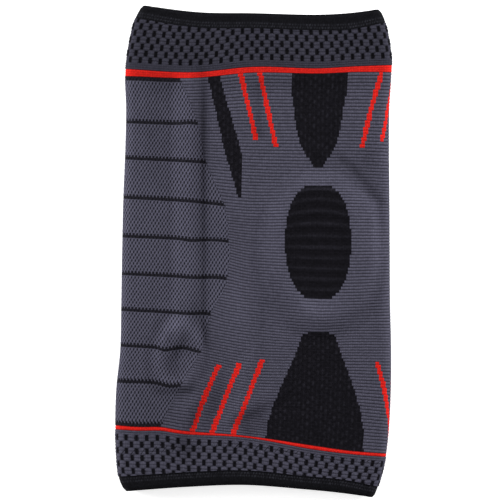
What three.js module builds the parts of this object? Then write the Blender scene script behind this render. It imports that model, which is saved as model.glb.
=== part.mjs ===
// A knitted knee sleeve that lies flat on its back wall, in millimetres, +Z up.
// The leg's way through it runs along Y, the thigh end at +Y, and the patella faces up at the right.
// Every knitted piece is laid out on one chart: a wale counts stitches round the sleeve from the
// line over the patella, and a rib counts the double courses from the lower edge to the upper one.
import * as THREE from 'three';

// The sleeve as it lies
const LENGTH = 280; // from the lowest corner to the highest one
const KNEE_WIDTH = 152; // flat width
const KNIT_WALL = 2.2;
const HEM_WALL = 3; // the knit turned over on itself
const HEM_ROUNDING = 0.8; // how far both faces of a hem draw in at its edge
const FOLD_REACH = 6; // how far a side fold rounds in from the outline
const FOLD_HEIGHT = 12; // outer height of the tube where a fold meets the top wall
const FOLD_MIDDLE = 5.5; // height of the outermost line of a fold
const CROWN_RISE = 1.5; // how far the top wall arches over the folds
const KNEE_LINE_SHARE = 0.3623; // the patella's line, as a share of the way round from the left fold

// The ring pad over the patella and the stay at the side, under the top wall
const PAD_WIDTH = 66;
const PAD_LENGTH = 91;
const PAD_HOLE_WIDTH = 26;
const PAD_HOLE_LENGTH = 42;
const PAD_THICKNESS = 4.4;
const PAD_EDGE = 1.2;
const STAY_WIDTH = 11;
const STAY_LENGTH = 142;
const STAY_THICKNESS = 1.6;
const STAY_ROUNDING = 5; // length of each rounded end

// Clearances
const PIECE_GAP = 0.3; // between knitted pieces
const SEAT_GAP = 1.1; // between the top wall and what it holds

// The chart: ribs in each zone from the lower edge up, and wales all round
const HEM_RIBS = 5;
const CUFF_RIBS = 12;
const LOWER_STRIPE_RIBS = 1;
const KNEE_RIBS = 120;
const UPPER_STRIPE_RIBS = 2;
const WALES = 320;

const LOWER_STRIPE = HEM_RIBS + CUFF_RIBS;
const KNEE_START = LOWER_STRIPE + LOWER_STRIPE_RIBS;
const KNEE_END = KNEE_START + KNEE_RIBS;
const UPPER_CUFF = KNEE_END + UPPER_STRIPE_RIBS;
const UPPER_HEM = UPPER_CUFF + CUFF_RIBS;
const UPPER_EDGE = UPPER_HEM + HEM_RIBS;

const WALE_PITCH = (2 * KNEE_WIDTH + 4 * FOLD_REACH) / WALES;
const RIB_PITCH = LENGTH / UPPER_EDGE;

// The outline and the height along the sleeve. along is a share of LENGTH from the middle, left and
// right are shares of KNEE_WIDTH from the middle, and height is a share of FOLD_HEIGHT.
const SECTIONS = [
  { along: -0.5, left: -0.47, right: 0.45, height: 0.92 },
  { along: -0.465, left: -0.502, right: 0.474, height: 0.94 },
  { along: -0.42, left: -0.513, right: 0.494, height: 0.96 },
  { along: -0.36, left: -0.517, right: 0.507, height: 0.98 },
  { along: -0.28, left: -0.513, right: 0.514, height: 1 },
  { along: -0.2, left: -0.498, right: 0.515, height: 1 },
  { along: -0.1, left: -0.494, right: 0.511, height: 1.02 },
  { along: 0, left: -0.491, right: 0.51, height: 1.03 },
  { along: 0.1, left: -0.487, right: 0.509, height: 1.02 },
  { along: 0.21, left: -0.479, right: 0.507, height: 1 },
  { along: 0.29, left: -0.476, right: 0.508, height: 1 },
  { along: 0.35, left: -0.48, right: 0.515, height: 0.99 },
  { along: 0.39, left: -0.476, right: 0.517, height: 0.97 },
  { along: 0.43, left: -0.464, right: 0.508, height: 0.95 },
  { along: 0.47, left: -0.446, right: 0.491, height: 0.93 },
  { along: 0.5, left: -0.418, right: 0.466, height: 0.92 },
];

// How the courses run: the place of a rib along the sleeve, as a share of LENGTH from the middle,
// at the COURSE_PLACES, which are shares of the way across from the left fold to the right one.
const COURSE_PLACES = [0, 0.25, 0.48, 0.72, 0.86, 1];
const COURSES = [
  { rib: 0, y: [-0.488, -0.479, -0.475, -0.484, -0.491, -0.5] },
  { rib: HEM_RIBS, y: [-0.458, -0.449, -0.445, -0.457, -0.464, -0.478] },
  { rib: LOWER_STRIPE, y: [-0.362, -0.369, -0.379, -0.402, -0.412, -0.418] },
  { rib: KNEE_START, y: [-0.353, -0.362, -0.375, -0.394, -0.405, -0.411] },
  { rib: KNEE_START + 14.5, y: [-0.264, -0.271, -0.3, -0.306, -0.311, -0.316] },
  { rib: KNEE_START + 27.5, y: [-0.189, -0.199, -0.223, -0.227, -0.229, -0.228] },
  { rib: KNEE_START + 39.5, y: [-0.122, -0.131, -0.151, -0.163, -0.16, -0.158] },
  { rib: KNEE_START + 49.5, y: [-0.066, -0.074, -0.09, -0.101, -0.101, -0.095] },
  { rib: KNEE_START + 59.5, y: [-0.009, -0.015, -0.03, -0.037, -0.038, -0.034] },
  { rib: KNEE_START + 79.5, y: [0.11, 0.103, 0.09, 0.093, 0.092, 0.092] },
  { rib: KNEE_START + 89.5, y: [0.169, 0.163, 0.155, 0.152, 0.152, 0.151] },
  { rib: KNEE_START + 105.5, y: [0.265, 0.261, 0.261, 0.261, 0.261, 0.261] },
  { rib: KNEE_END, y: [0.358, 0.354, 0.363, 0.362, 0.363, 0.364] },
  { rib: UPPER_CUFF, y: [0.374, 0.366, 0.375, 0.374, 0.376, 0.379] },
  { rib: UPPER_HEM, y: [0.474, 0.455, 0.453, 0.449, 0.451, 0.465] },
  { rib: UPPER_EDGE, y: [0.5, 0.486, 0.484, 0.481, 0.484, 0.492] },
];

// Dents and swells of the top wall. Places and reaches are shares of KNEE_WIDTH across and of LENGTH
// along, and rise is a share of FOLD_HEIGHT.
const DENTS = [
  { across: -0.277, along: -0.205, reachX: 0.03, reachY: 0.03, rise: -0.15 }, // past the stay's end
  { across: -0.281, along: -0.287, reachX: 0.065, reachY: 0.012, rise: -0.1 }, // crease below it
  { across: -0.22, along: -0.36, reachX: 0.03, reachY: 0.025, rise: -0.09 },
  { across: -0.02, along: -0.35, reachX: 0.06, reachY: 0.022, rise: -0.08 },
  { across: -0.07, along: -0.12, reachX: 0.07, reachY: 0.09, rise: 0.07 },
  { across: 0.42, along: 0.175, reachX: 0.045, reachY: 0.035, rise: -0.12 }, // above the pad
];
const VALLEY = { across: -0.185, reach: 0.02, rise: -0.1 }; // beside the stay

// Black panels on the patella's line. down counts shares of the panel's ribs from its upper end, and
// half is its half width as a share of its widest.
const THIGH_PANEL = {
  start: KNEE_END,
  ribs: 28,
  halfWales: 15.5,
  edge: [
    { down: 0, half: 1 },
    { down: 0.29, half: 0.94 },
    { down: 0.58, half: 0.85 },
    { down: 0.76, half: 0.65 },
    { down: 0.91, half: 0.37 },
    { down: 1, half: 0.16 },
  ],
};
const SHIN_PANEL = {
  start: KNEE_START + 39,
  ribs: 39,
  halfWales: 27.5,
  edge: [
    { down: 0, half: 0.14 },
    { down: 0.08, half: 0.38 },
    { down: 0.24, half: 0.55 },
    { down: 0.45, half: 0.78 },
    { down: 0.64, half: 0.93 },
    { down: 0.77, half: 1 },
    { down: 1, half: 1 },
  ],
};
const PATELLA_PANEL = { middle: KNEE_START + 68, halfRibs: 18, ovalRibs: 19.8, halfWales: 18.8 };

// Where the plain knit over the knee ends and the mesh behind it starts, on both sides alike. up is
// a share of KNEE_RIBS and half a share of MESH_START.
const MESH_START = 86.5;
const MESH_EDGE = [
  { up: 0, half: 1 },
  { up: 0.117, half: 0.877 },
  { up: 0.225, half: 0.771 },
  { up: 0.333, half: 0.705 },
  { up: 0.442, half: 0.598 },
  { up: 0.55, half: 0.585 },
  { up: 0.658, half: 0.621 },
  { up: 0.767, half: 0.748 },
  { up: 0.875, half: 0.809 },
  { up: 1, half: 0.93 },
];

// The black wedge beside the thigh, in wales from the patella's line and ribs down from the stripe
const WEDGE = { ribs: 38, outerTop: 64.3, outerTip: 44.6, innerTop: 57.3, innerTip: 42.7, straightRibs: 25 };
const WEDGE_LINE_SPREAD = 0.1; // wales a rib that the chart's lines part by below the tip

// Columns of facets between the chart's lines, and ribs between its rows
const LEFT_FACETS = { back: 3, fold: 6, flank: 11, besideWedge: 4, wedge: 2, besidePanel: 4, panel: 3 };
const RIGHT_FACETS = { panel: 3, besidePanel: 3, fold: 5, wedge: 2, besideWedge: 4, back: 8 };
const LEFT_FOLD = [104, 127]; // wales from the patella's line to where the left fold starts and ends
const RIGHT_FOLD = 33; // and to where the right one starts
const ROW_RIBS = 6.5;
const CUFF_ROWS = 3;
const HEM_ROWS = 2;
const PAD_RINGS = [0, 0.22, 0.48, 0.74, 1]; // shares of the way from the hole to the rim
const PAD_SIDES = 36;
const STAY_STEPS = 26;
const STAY_COLUMNS = 4;

const YARN_GREY = new THREE.MeshStandardMaterial({ color: 0x4e4d5a, roughness: 0.85, metalness: 0 });
const YARN_BLACK = new THREE.MeshStandardMaterial({ color: 0x1a191d, roughness: 0.9, metalness: 0 });
const YARN_RED = new THREE.MeshStandardMaterial({ color: 0xe3241b, roughness: 0.8, metalness: 0 });
const GEL = new THREE.MeshStandardMaterial({ color: 0x3b3b40, roughness: 0.45, metalness: 0 });
const SPRING_STEEL = new THREE.MeshStandardMaterial({ color: 0xb4b7bc, roughness: 0.3, metalness: 0.9 });

const { lerp, smoothstep, clamp } = THREE.MathUtils;

// A smooth curve through values at rising keys
function curveThrough(keys, values, at) {
  const last = keys.length - 1;
  const place = clamp(at, keys[0], keys[last]);
  let i = 0;
  while (i < last - 1 && place > keys[i + 1]) i += 1;
  const slope = (k) => {
    const from = Math.max(k - 1, 0);
    const to = Math.min(k + 1, last);
    return (values[to] - values[from]) / (keys[to] - keys[from]);
  };
  const span = keys[i + 1] - keys[i];
  const t = (place - keys[i]) / span;
  return (
    values[i] * (1 + 2 * t) * (1 - t) ** 2 +
    slope(i) * span * t * (1 - t) ** 2 +
    values[i + 1] * t * t * (3 - 2 * t) +
    slope(i + 1) * span * t * t * (t - 1)
  );
}

const SECTION_KEYS = SECTIONS.map((row) => row.along);
const COURSE_KEYS = COURSES.map((row) => row.rib);

function sectionValue(column, y) {
  return curveThrough(SECTION_KEYS, SECTIONS.map((row) => row[column]), y / LENGTH);
}

// Where a rib lies along the sleeve at a share of the way across
function courseY(rib, across) {
  const atPlaces = COURSE_PLACES.map((_, k) => curveThrough(COURSE_KEYS, COURSES.map((row) => row.y[k]), rib));
  return LENGTH * curveThrough(COURSE_PLACES, atPlaces, across);
}

const TOP_ARC = quarterArc(FOLD_REACH, FOLD_HEIGHT - FOLD_MIDDLE);

// The middles of the pad, which reaches the right fold, and of the stay
const PAD = {
  x: sectionValue('right', 0) * KNEE_WIDTH - FOLD_REACH - PAD_WIDTH / 2,
  y: courseY(PATELLA_PANEL.middle, 0.75) - 0.015 * LENGTH,
};
const STAY = { x: -0.25 * KNEE_WIDTH, y: 0.083 * LENGTH };

function quarterArc(across, up) {
  return (Math.PI / 2) * Math.sqrt((across ** 2 + up ** 2) / 2);
}

// How far out a point is from the pad's middle, 1 at its rim
function padReach(x, y) {
  return Math.hypot((x - PAD.x) / (PAD_WIDTH / 2), (y - PAD.y) / (PAD_LENGTH / 2));
}

// How the wall rises over the pad: full over the ring, a little less over its hole, and fading out
function padRise(x, y) {
  const fade = { from: 0.7, to: 1.16 };
  const holeDip = 0.22;
  const reach = padReach(x, y);
  const over = 1 - smoothstep(reach, fade.from, fade.to);
  const dip = holeDip * (1 - smoothstep(reach, 0, fade.from));
  return PAD_THICKNESS * (over - dip);
}

// The ridge over the stay
function stayRise(x, y) {
  const coverShare = 1.3;
  const fadeAcross = STAY_WIDTH;
  const fadeAlong = 12;
  const across = Math.abs(x - STAY.x);
  const along = Math.abs(y - STAY.y);
  const overWidth = 1 - smoothstep(across, STAY_WIDTH * 0.3, STAY_WIDTH * 0.3 + fadeAcross * 0.6);
  const overLength = 1 - smoothstep(along, STAY_LENGTH / 2, STAY_LENGTH / 2 + fadeAlong);
  return coverShare * STAY_THICKNESS * overWidth * overLength;
}

function dentRise(x, y) {
  let rise = 0;
  for (const dent of DENTS) {
    const dx = (x / KNEE_WIDTH - dent.across) / dent.reachX;
    const dy = (y / LENGTH - dent.along) / dent.reachY;
    rise += dent.rise * Math.exp(-dx * dx - dy * dy);
  }
  const beside = (x / KNEE_WIDTH - VALLEY.across) / VALLEY.reach;
  const along = Math.abs(y - STAY.y);
  const overLength = 1 - smoothstep(along, STAY_LENGTH / 2 - 10, STAY_LENGTH / 2 + 15);
  rise += VALLEY.rise * Math.exp(-beside * beside) * overLength;
  return FOLD_HEIGHT * rise;
}

// The top wall's outer height without the ridge and the ring that the pieces under it raise
function plainTop(x, y) {
  const left = sectionValue('left', y) * KNEE_WIDTH;
  const right = sectionValue('right', y) * KNEE_WIDTH;
  const across = clamp((x - left) / (right - left), 0, 1);
  return FOLD_HEIGHT * sectionValue('height', y) + CROWN_RISE * Math.sin(Math.PI * across) ** 2;
}

function topHeight(x, y) {
  return plainTop(x, y) + padRise(x, y) + stayRise(x, y) + dentRise(x, y);
}

// A point of the knit: how far round and along it is, and how deep under the outer face
function knitPoint(wale, rib, depth) {
  const round = THREE.MathUtils.euclideanModulo(KNEE_LINE_SHARE + wale / WALES, 1);
  const onTop = round < 0.5;
  const share = onTop ? 2 * round : 2 * (1 - round);
  const arc = onTop ? TOP_ARC : quarterArc(FOLD_REACH, FOLD_MIDDLE);
  const flat = KNEE_WIDTH - 2 * FOLD_REACH;
  const travel = share * (flat + 2 * arc);
  const side = travel < arc + flat / 2 ? -1 : 1;
  const fromFold = Math.min(travel, flat + 2 * arc - travel);
  const turn = Math.min(fromFold / arc, 1) * (Math.PI / 2);
  const flatShare = clamp((travel - arc) / flat, 0, 1);
  const across = (FOLD_REACH + flatShare * flat + side * FOLD_REACH * Math.cos(turn)) / KNEE_WIDTH;

  const y = courseY(rib, across);
  const left = sectionValue('left', y) * KNEE_WIDTH;
  const right = sectionValue('right', y) * KNEE_WIDTH;
  const reach = side * (FOLD_REACH - depth) * Math.cos(turn);
  const x = lerp(left + FOLD_REACH, right - FOLD_REACH, flatShare) + reach;
  const rise = onTop ? topHeight(x, y) - FOLD_MIDDLE : -FOLD_MIDDLE;
  const wallRise = rise - Math.sign(rise) * depth;
  return new THREE.Vector3(x, y, FOLD_MIDDLE + wallRise * Math.sin(turn));
}

// The half width of a panel on the patella's line at a rib, in wales
function panelHalf(panel, rib) {
  const down = (panel.start - rib) / panel.ribs;
  return panel.halfWales * curveThrough(panel.edge.map((row) => row.down), panel.edge.map((row) => row.half), down);
}

function patellaHalf(rib) {
  const fromMiddle = Math.min(Math.abs(rib - PATELLA_PANEL.middle), PATELLA_PANEL.halfRibs);
  return PATELLA_PANEL.halfWales * Math.sqrt(1 - (fromMiddle / PATELLA_PANEL.ovalRibs) ** 2);
}

const THIGH_END = THIGH_PANEL.start - THIGH_PANEL.ribs;
const PATELLA_START = PATELLA_PANEL.middle - PATELLA_PANEL.halfRibs;
const PATELLA_END = PATELLA_PANEL.middle + PATELLA_PANEL.halfRibs;
const WEDGE_END = KNEE_END - WEDGE.ribs;

// The chart's lines on one side of the patella's line, in wales, at a rib of the knee
function centreLine(rib) {
  if (rib >= THIGH_END) return panelHalf(THIGH_PANEL, rib);
  if (rib > PATELLA_END) {
    return lerp(patellaHalf(PATELLA_END), panelHalf(THIGH_PANEL, THIGH_END), (rib - PATELLA_END) / (THIGH_END - PATELLA_END));
  }
  if (rib >= PATELLA_START) return patellaHalf(rib);
  if (rib > SHIN_PANEL.start) {
    const share = (rib - SHIN_PANEL.start) / (PATELLA_START - SHIN_PANEL.start);
    return lerp(panelHalf(SHIN_PANEL, SHIN_PANEL.start), patellaHalf(PATELLA_START), share);
  }
  return panelHalf(SHIN_PANEL, rib);
}

function meshEdge(rib) {
  const up = (rib - KNEE_START) / KNEE_RIBS;
  return MESH_START * curveThrough(MESH_EDGE.map((row) => row.up), MESH_EDGE.map((row) => row.half), up);
}

function wedgeInner(rib) {
  const down = KNEE_END - rib;
  return lerp(WEDGE.innerTop, WEDGE.innerTip, clamp(down / WEDGE.straightRibs, 0, 1));
}

function wedgeOuter(rib) {
  const down = KNEE_END - rib;
  const pastTip = Math.max(down - WEDGE.ribs, 0);
  return lerp(WEDGE.outerTop, WEDGE.outerTip, clamp(down / WEDGE.ribs, 0, 1)) + WEDGE_LINE_SPREAD * pastTip;
}

// The columns all round: their lines from the back to the patella's line and on, and facets between
const LEFT_LINES = [
  { at: () => WALES / 2, facets: LEFT_FACETS.back },
  { at: () => LEFT_FOLD[1], facets: LEFT_FACETS.fold },
  { at: () => LEFT_FOLD[0], facets: LEFT_FACETS.flank },
  { at: meshEdge, facets: LEFT_FACETS.besideWedge },
  { at: wedgeOuter, facets: LEFT_FACETS.wedge },
  { at: wedgeInner, facets: LEFT_FACETS.besidePanel },
  { at: centreLine, facets: LEFT_FACETS.panel },
];
const RIGHT_LINES = [
  { at: () => 0, facets: RIGHT_FACETS.panel },
  { at: centreLine, facets: RIGHT_FACETS.besidePanel },
  { at: () => RIGHT_FOLD, facets: RIGHT_FACETS.fold },
  { at: wedgeInner, facets: RIGHT_FACETS.wedge },
  { at: wedgeOuter, facets: RIGHT_FACETS.besideWedge },
  { at: meshEdge, facets: RIGHT_FACETS.back },
];

// The wale of every column line at a rib. Above and below the knee the lines run straight on.
function columnWales(rib) {
  const kneeRib = clamp(rib, KNEE_START, KNEE_END);
  const lines = [
    ...LEFT_LINES.map((line) => ({ wale: -line.at(kneeRib), facets: line.facets })),
    ...RIGHT_LINES.map((line) => ({ wale: line.at(kneeRib), facets: line.facets })),
  ];
  const wales = [];
  lines.forEach((line, k) => {
    const next = k + 1 < lines.length ? lines[k + 1].wale : WALES / 2;
    for (let f = 0; f < line.facets; f += 1) wales.push(lerp(line.wale, next, f / line.facets));
  });
  return wales;
}

// The columns between two of the chart's lines on one side of the patella's line
function columnsBetween(first, last, onRight) {
  const lines = onRight ? RIGHT_LINES : LEFT_LINES;
  const passed = (upTo) => [...(onRight ? LEFT_LINES : []), ...lines.slice(0, upTo)];
  return [first, last].map((line) => {
    const upTo = lines.findIndex((entry) => entry.at === line);
    return passed(upTo).reduce((sum, entry) => sum + entry.facets, 0);
  });
}

function evenRows(from, to, rows) {
  return Array.from({ length: rows }, (_, k) => lerp(from, to, k / rows));
}

const KNEE_STOPS = [KNEE_START, SHIN_PANEL.start, PATELLA_START, WEDGE_END, PATELLA_END, THIGH_END, KNEE_END];
const KNEE_ROWS = KNEE_STOPS.slice(1).flatMap((stop, k) =>
  evenRows(KNEE_STOPS[k], stop, Math.ceil((stop - KNEE_STOPS[k]) / ROW_RIBS)),
);
const ROWS = [
  ...evenRows(0, HEM_RIBS, HEM_ROWS),
  ...evenRows(HEM_RIBS, LOWER_STRIPE, CUFF_ROWS),
  LOWER_STRIPE,
  ...KNEE_ROWS,
  KNEE_END,
  ...evenRows(UPPER_CUFF, UPPER_HEM, CUFF_ROWS),
  ...evenRows(UPPER_HEM, UPPER_EDGE, HEM_ROWS),
  UPPER_EDGE,
];
const GRID = ROWS.map(columnWales);
const COLUMN_COUNT = GRID[0].length;

// A closed solid made of quads, each given by its four corners anticlockwise from outside
class Skin {
  constructor() {
    this.points = [];
    this.triangles = [];
  }

  add(point) {
    this.points.push(point);
    return this.points.length - 1;
  }

  quad(a, b, c, d) {
    this.triangles.push(a, b, c, a, c, d);
  }

  geometry() {
    const geometry = new THREE.BufferGeometry().setFromPoints(this.points);
    geometry.setIndex(this.triangles);
    geometry.computeVertexNormals();
    return geometry;
  }
}

// The wall of knit over every cell of the chart that belongs to a piece. Its edges draw in by half
// of the gap to the next piece, and a hem's two faces draw together at the sleeve's ends. Edges that
// face each other are split along the same diagonals, so that the gap stays even where they twist.
function knitWall(wall, belongs) {
  const skin = new Skin();
  const round = (i) => (i + COLUMN_COUNT) % COLUMN_COUNT;
  const inPiece = (i, j) => j >= 0 && j < ROWS.length - 1 && belongs(round(i), j);
  const corners = new Map();

  const corner = (i, j) => {
    const key = j * COLUMN_COUNT + round(i);
    if (!corners.has(key)) {
      const cells = [
        { across: -1, along: -1 },
        { across: 1, along: -1 },
        { across: -1, along: 1 },
        { across: 1, along: 1 },
      ].filter((side) => inPiece(i + (side.across - 1) / 2, j + (side.along - 1) / 2));
      const atEnd = j === 0 || j === ROWS.length - 1;
      const across = Math.sign(cells.reduce((sum, side) => sum + side.across, 0));
      const along = atEnd ? 0 : Math.sign(cells.reduce((sum, side) => sum + side.along, 0));
      const wale = GRID[j][round(i)] + (across * PIECE_GAP) / 2 / WALE_PITCH;
      const rib = ROWS[j] + (along * PIECE_GAP) / 2 / RIB_PITCH;
      const tuck = atEnd ? HEM_ROUNDING : 0;
      corners.set(key, {
        outer: skin.add(knitPoint(wale, rib, tuck)),
        inner: skin.add(knitPoint(wale, rib, wall - tuck)),
      });
    }
    return corners.get(key);
  };

  for (let j = 0; j < ROWS.length - 1; j += 1) {
    for (let i = 0; i < COLUMN_COUNT; i += 1) {
      if (!inPiece(i, j)) continue;
      const [a, b, c, d] = [corner(i, j), corner(i + 1, j), corner(i + 1, j + 1), corner(i, j + 1)];
      skin.quad(a.outer, b.outer, c.outer, d.outer);
      skin.quad(d.inner, c.inner, b.inner, a.inner);
      if (!inPiece(i, j - 1)) skin.quad(a.inner, b.inner, b.outer, a.outer);
      if (!inPiece(i + 1, j)) skin.quad(b.inner, c.inner, c.outer, b.outer);
      if (!inPiece(i, j + 1)) skin.quad(d.inner, d.outer, c.outer, c.inner);
      if (!inPiece(i - 1, j)) skin.quad(a.inner, a.outer, d.outer, d.inner);
    }
  }
  return skin.geometry();
}

// A layer under the top wall: plan(i, j) gives its place in plan, and top and bottom its two faces
function layer({ rows, columns, closed, plan, top, bottom }) {
  const skin = new Skin();
  const nodes = [];
  for (let j = 0; j <= rows; j += 1) {
    for (let i = 0; i < columns + (closed ? 0 : 1); i += 1) {
      const [x, y] = plan(i / columns, j);
      nodes.push({
        upper: skin.add(new THREE.Vector3(x, y, top(x, y))),
        lower: skin.add(new THREE.Vector3(x, y, bottom(x, y))),
      });
    }
  }
  const across = closed ? columns : columns + 1;
  const node = (i, j) => nodes[j * across + (i % across)];
  for (let j = 0; j < rows; j += 1) {
    for (let i = 0; i < columns; i += 1) {
      const [a, b, c, d] = [node(i, j), node(i + 1, j), node(i + 1, j + 1), node(i, j + 1)];
      skin.quad(a.upper, b.upper, c.upper, d.upper);
      skin.quad(d.lower, c.lower, b.lower, a.lower);
      if (j === 0) skin.quad(a.lower, b.lower, b.upper, a.upper);
      if (j === rows - 1) skin.quad(c.lower, d.lower, d.upper, c.upper);
      if (!closed && i === 0) skin.quad(d.lower, a.lower, a.upper, d.upper);
      if (!closed && i === columns - 1) skin.quad(b.lower, c.lower, c.upper, b.upper);
    }
  }
  return skin.geometry();
}

const ceiling = (x, y) => topHeight(x, y) - KNIT_WALL - SEAT_GAP;

function patellaPad() {
  return layer({
    rows: PAD_RINGS.length - 1,
    columns: PAD_SIDES,
    closed: true,
    plan: (share, ring) => {
      const turn = -2 * Math.PI * share;
      const wide = lerp(PAD_HOLE_WIDTH, PAD_WIDTH, PAD_RINGS[ring]) / 2;
      const long = lerp(PAD_HOLE_LENGTH, PAD_LENGTH, PAD_RINGS[ring]) / 2;
      return [PAD.x + wide * Math.cos(turn), PAD.y + long * Math.sin(turn)];
    },
    top: ceiling,
    bottom: (x, y) => ceiling(x, y) - Math.max(padRise(x, y), PAD_EDGE),
  });
}

function sideStay() {
  return layer({
    rows: STAY_STEPS,
    columns: STAY_COLUMNS,
    closed: false,
    plan: (share, step) => {
      const fromMiddle = (step / STAY_STEPS - 0.5) * STAY_LENGTH;
      const intoEnd = clamp((Math.abs(fromMiddle) - STAY_LENGTH / 2 + STAY_ROUNDING) / STAY_ROUNDING, 0, 0.9);
      const wide = STAY_WIDTH * Math.sqrt(1 - intoEnd ** 2);
      return [STAY.x + (share - 0.5) * wide, STAY.y + fromMiddle];
    },
    top: ceiling,
    bottom: (x, y) => ceiling(x, y) - STAY_THICKNESS,
  });
}

const PANEL_COLUMNS = [columnsBetween(centreLine, centreLine, false)[0], columnsBetween(centreLine, centreLine, true)[0]];
const LEFT_WEDGE_COLUMNS = columnsBetween(wedgeOuter, wedgeInner, false);
const RIGHT_WEDGE_COLUMNS = columnsBetween(wedgeInner, wedgeOuter, true);
const PLAIN_COLUMNS = [columnsBetween(meshEdge, meshEdge, false)[0], columnsBetween(meshEdge, meshEdge, true)[0]];

// The chart's pieces inside the knee: their columns, and the ribs that they start and end at
const INLAYS = [
  { name: 'thigh_panel', columns: PANEL_COLUMNS, from: THIGH_END, to: KNEE_END },
  { name: 'patella_panel', columns: PANEL_COLUMNS, from: PATELLA_START, to: PATELLA_END },
  { name: 'shin_panel', columns: PANEL_COLUMNS, from: KNEE_START, to: SHIN_PANEL.start },
  { name: 'left_wedge', columns: LEFT_WEDGE_COLUMNS, from: WEDGE_END, to: KNEE_END },
  { name: 'right_wedge', columns: RIGHT_WEDGE_COLUMNS, from: WEDGE_END, to: KNEE_END },
];
const BANDS = [
  { name: 'lower_hem', from: 0, to: HEM_RIBS, wall: HEM_WALL, material: YARN_BLACK },
  { name: 'lower_cuff', from: HEM_RIBS, to: LOWER_STRIPE, wall: KNIT_WALL, material: YARN_GREY },
  { name: 'lower_stripe', from: LOWER_STRIPE, to: KNEE_START, wall: KNIT_WALL, material: YARN_RED },
  { name: 'upper_stripe', from: KNEE_END, to: UPPER_CUFF, wall: KNIT_WALL, material: YARN_RED },
  { name: 'upper_cuff', from: UPPER_CUFF, to: UPPER_HEM, wall: KNIT_WALL, material: YARN_GREY },
  { name: 'upper_hem', from: UPPER_HEM, to: UPPER_EDGE, wall: HEM_WALL, material: YARN_BLACK },
];

const rowMiddle = (j) => (ROWS[j] + ROWS[j + 1]) / 2;
const between = (value, from, to) => value > from && value < to;
const inColumns = (i, columns) => i >= columns[0] && i < columns[1];
const inInlay = (inlay, i, j) => inColumns(i, inlay.columns) && between(rowMiddle(j), inlay.from, inlay.to);
const inKnee = (j) => between(rowMiddle(j), KNEE_START, KNEE_END);
const inPlainKnit = (i, j) =>
  inKnee(j) && inColumns(i, PLAIN_COLUMNS) && !INLAYS.some((inlay) => inInlay(inlay, i, j));

function named(name, geometry, material) {
  const mesh = new THREE.Mesh(geometry, material);
  mesh.name = name;
  return mesh;
}

const sleeve = new THREE.Group();
for (const band of BANDS) {
  const geometry = knitWall(band.wall, (i, j) => between(rowMiddle(j), band.from, band.to));
  sleeve.add(named(band.name, geometry, band.material));
}
for (const inlay of INLAYS) {
  sleeve.add(named(inlay.name, knitWall(KNIT_WALL, (i, j) => inInlay(inlay, i, j)), YARN_BLACK));
}
sleeve.add(named('plain_knit', knitWall(KNIT_WALL, inPlainKnit), YARN_GREY));
sleeve.add(named('mesh_knit', knitWall(KNIT_WALL, (i, j) => inKnee(j) && !inColumns(i, PLAIN_COLUMNS)), YARN_GREY));
sleeve.add(named('patella_pad', patellaPad(), GEL));
sleeve.add(named('side_stay', sideStay(), SPRING_STEEL));

export default sleeve;
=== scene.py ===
from typing import NamedTuple

import bpy
import numpy as np
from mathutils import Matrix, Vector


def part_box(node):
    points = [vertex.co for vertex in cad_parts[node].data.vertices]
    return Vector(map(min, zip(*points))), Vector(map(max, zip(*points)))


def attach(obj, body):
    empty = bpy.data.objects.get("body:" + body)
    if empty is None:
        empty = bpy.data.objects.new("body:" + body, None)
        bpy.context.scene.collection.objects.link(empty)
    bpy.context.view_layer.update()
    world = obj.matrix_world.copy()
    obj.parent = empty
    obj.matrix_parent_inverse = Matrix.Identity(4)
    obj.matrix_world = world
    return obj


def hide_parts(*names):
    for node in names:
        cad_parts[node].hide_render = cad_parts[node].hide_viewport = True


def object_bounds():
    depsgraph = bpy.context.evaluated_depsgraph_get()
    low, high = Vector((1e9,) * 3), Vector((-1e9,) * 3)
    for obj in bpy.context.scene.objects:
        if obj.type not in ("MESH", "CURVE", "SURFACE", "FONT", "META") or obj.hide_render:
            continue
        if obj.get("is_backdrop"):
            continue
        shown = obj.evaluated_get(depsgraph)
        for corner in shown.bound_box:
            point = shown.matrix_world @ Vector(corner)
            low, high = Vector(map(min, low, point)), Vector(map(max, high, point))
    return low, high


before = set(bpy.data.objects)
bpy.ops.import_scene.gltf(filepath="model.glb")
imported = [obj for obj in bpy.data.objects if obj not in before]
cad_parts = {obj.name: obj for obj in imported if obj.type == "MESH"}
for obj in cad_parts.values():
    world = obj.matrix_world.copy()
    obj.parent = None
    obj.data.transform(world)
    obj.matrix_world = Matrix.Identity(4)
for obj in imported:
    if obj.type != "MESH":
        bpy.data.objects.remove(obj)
cad_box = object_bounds()

MM = 0.001

# The outline and the height along the sleeve, in shares of LENGTH, KNEE_WIDTH and FOLD_HEIGHT:
# along, left, right, height
SECTIONS = np.array([
    (-0.5, -0.47, 0.45, 0.92),
    (-0.465, -0.502, 0.474, 0.94),
    (-0.42, -0.513, 0.494, 0.96),
    (-0.36, -0.517, 0.507, 0.98),
    (-0.28, -0.513, 0.514, 1.0),
    (-0.2, -0.498, 0.515, 1.0),
    (-0.1, -0.494, 0.511, 1.02),
    (0.0, -0.491, 0.51, 1.03),
    (0.1, -0.487, 0.509, 1.02),
    (0.21, -0.479, 0.507, 1.0),
    (0.29, -0.476, 0.508, 1.0),
    (0.35, -0.48, 0.515, 0.99),
    (0.39, -0.476, 0.517, 0.97),
    (0.43, -0.464, 0.508, 0.95),
    (0.47, -0.446, 0.491, 0.93),
    (0.5, -0.418, 0.466, 0.92),
])


def solid_sizes(low, high):
    """A box's size and middle in millimetres."""
    low, high = np.array(low) / MM, np.array(high) / MM
    return high - low, (low + high) / 2


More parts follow.
